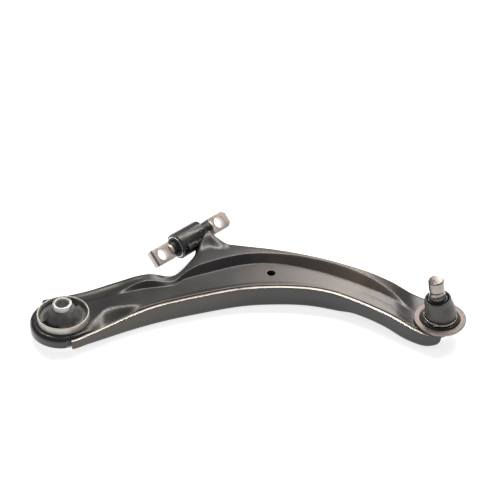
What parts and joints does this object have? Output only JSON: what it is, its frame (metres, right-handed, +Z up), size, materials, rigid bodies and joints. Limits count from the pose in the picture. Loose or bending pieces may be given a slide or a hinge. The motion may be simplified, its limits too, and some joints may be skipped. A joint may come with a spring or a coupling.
{
  "type": "control arm",
  "caption": "Front lower control arm: two pressed-steel shells welded into a curved box, with a voided rear bush, a bar-pin front bush and a pinch-bolt ball joint.",
  "frame": {"origin": "on the rear bush's bore axis, at the lower face of its inner sleeve, the face the arm rests on", "axes": "+Z up along the rear bush's bore, +X from the rear bush towards the ball joint, along the arm's length, +Y towards the side of the bar-pin bush"},
  "size_m": [0.516, 0.2282, 0.086],
  "materials": {
    "upper_shell": "satin black electro-coat",
    "lower_shell": "satin black electro-coat",
    "near_seam_weld": "coated weld bead",
    "far_seam_weld": "coated weld bead",
    "bush_tube": "satin black electro-coat",
    "bush_tube_weld": "rough coated weld bead with spatter",
    "front_outer_sleeve": "drawn steel tube",
    "front_rubber": "matt moulded rubber",
    "bar_pin": "blanked and drilled steel, zinc phosphate",
    "rear_outer_sleeve": "drawn steel tube",
    "rear_rubber": "matt moulded rubber with release dust",
    "rear_inner_sleeve": "turned steel, zinc plated",
    "joint_ring_plate": "pressed steel plate, phosphated",
    "ball_housing": "forged and machined steel, blackened",
    "housing_cap": "pressed steel disc",
    "preload_washer": "spring steel",
    "seat_lower_half": "natural acetal",
    "seat_upper_half": "natural acetal",
    "ball_stud": "turned and polished alloy steel",
    "dust_boot": "smooth moulded rubber",
    "boot_clamp_ring": "bright spring wire",
    "boot_neck_ring": "stamped steel insert"
  },
  "bodies": {
    "arm": {"upper_shell": "upper_shell", "lower_shell": "lower_shell", "near_seam_weld": "near_seam_weld", "far_seam_weld": "far_seam_weld", "bush_tube": "bush_tube", "bush_tube_weld": "bush_tube_weld", "front_outer_sleeve": "front_outer_sleeve", "front_rubber": "front_rubber", "rear_outer_sleeve": "rear_outer_sleeve", "joint_ring_plate": "joint_ring_plate", "ball_housing": "ball_housing", "housing_cap": "housing_cap", "preload_washer": "preload_washer", "seat_lower_half": "seat_lower_half", "seat_upper_half": "seat_upper_half", "boot_clamp_ring": "boot_clamp_ring"},
    "bar": {"bar_pin": "bar_pin"},
    "rear_rubber_body": {"rear_rubber": "rear_rubber"},
    "rear_core": {"rear_inner_sleeve": "rear_inner_sleeve"},
    "boot": {"dust_boot": "dust_boot"},
    "boot_top": {"boot_neck_ring": "boot_neck_ring"},
    "stud": {"ball_stud": "ball_stud"}
  },
  "joints": [
    {"name": "bar_turn", "type": "hinge", "parent": "arm", "child": "bar", "pos_m": [0.146, 0.139, 0.034], "axis": [0.7193, 0.6947, 0], "range_deg": [-20, 20], "stiffness_Nm_per_rad": 25},
    {"name": "rear_tilt", "type": "hinge", "parent": "arm", "child": "rear_rubber_body", "pos_m": [0, 0, 0.0175], "axis": [0.7193, 0.6947, 0], "range_deg": [-8, 8], "stiffness_Nm_per_rad": 60, "deforming": ["rear_rubber"]},
    {"name": "rear_twist", "type": "hinge", "parent": "rear_rubber_body", "child": "rear_core", "pos_m": [0, 0, 0], "axis": [0, 0, 1], "range_deg": [-8, 8], "stiffness_Nm_per_rad": 40, "deforming": ["rear_rubber"]},
    {"name": "ball_swing", "type": "hinge", "parent": "arm", "child": "boot", "pos_m": [0.445, -0.004, 0.025], "axis": [1, 0, 0], "range_deg": [-18, 18], "deforming": ["dust_boot"]},
    {"name": "ball_lean", "type": "hinge", "parent": "boot", "child": "boot_top", "pos_m": [0.445, -0.004, 0.025], "axis": [0, 1, 0], "range_deg": [-9.5, 26.5], "deforming": ["dust_boot"]},
    {"name": "ball_spin", "type": "hinge", "parent": "boot_top", "child": "stud", "pos_m": [0.445, -0.004, 0.025], "axis": [-0.1478, 0, 0.989], "continuous": true}
  ]
}
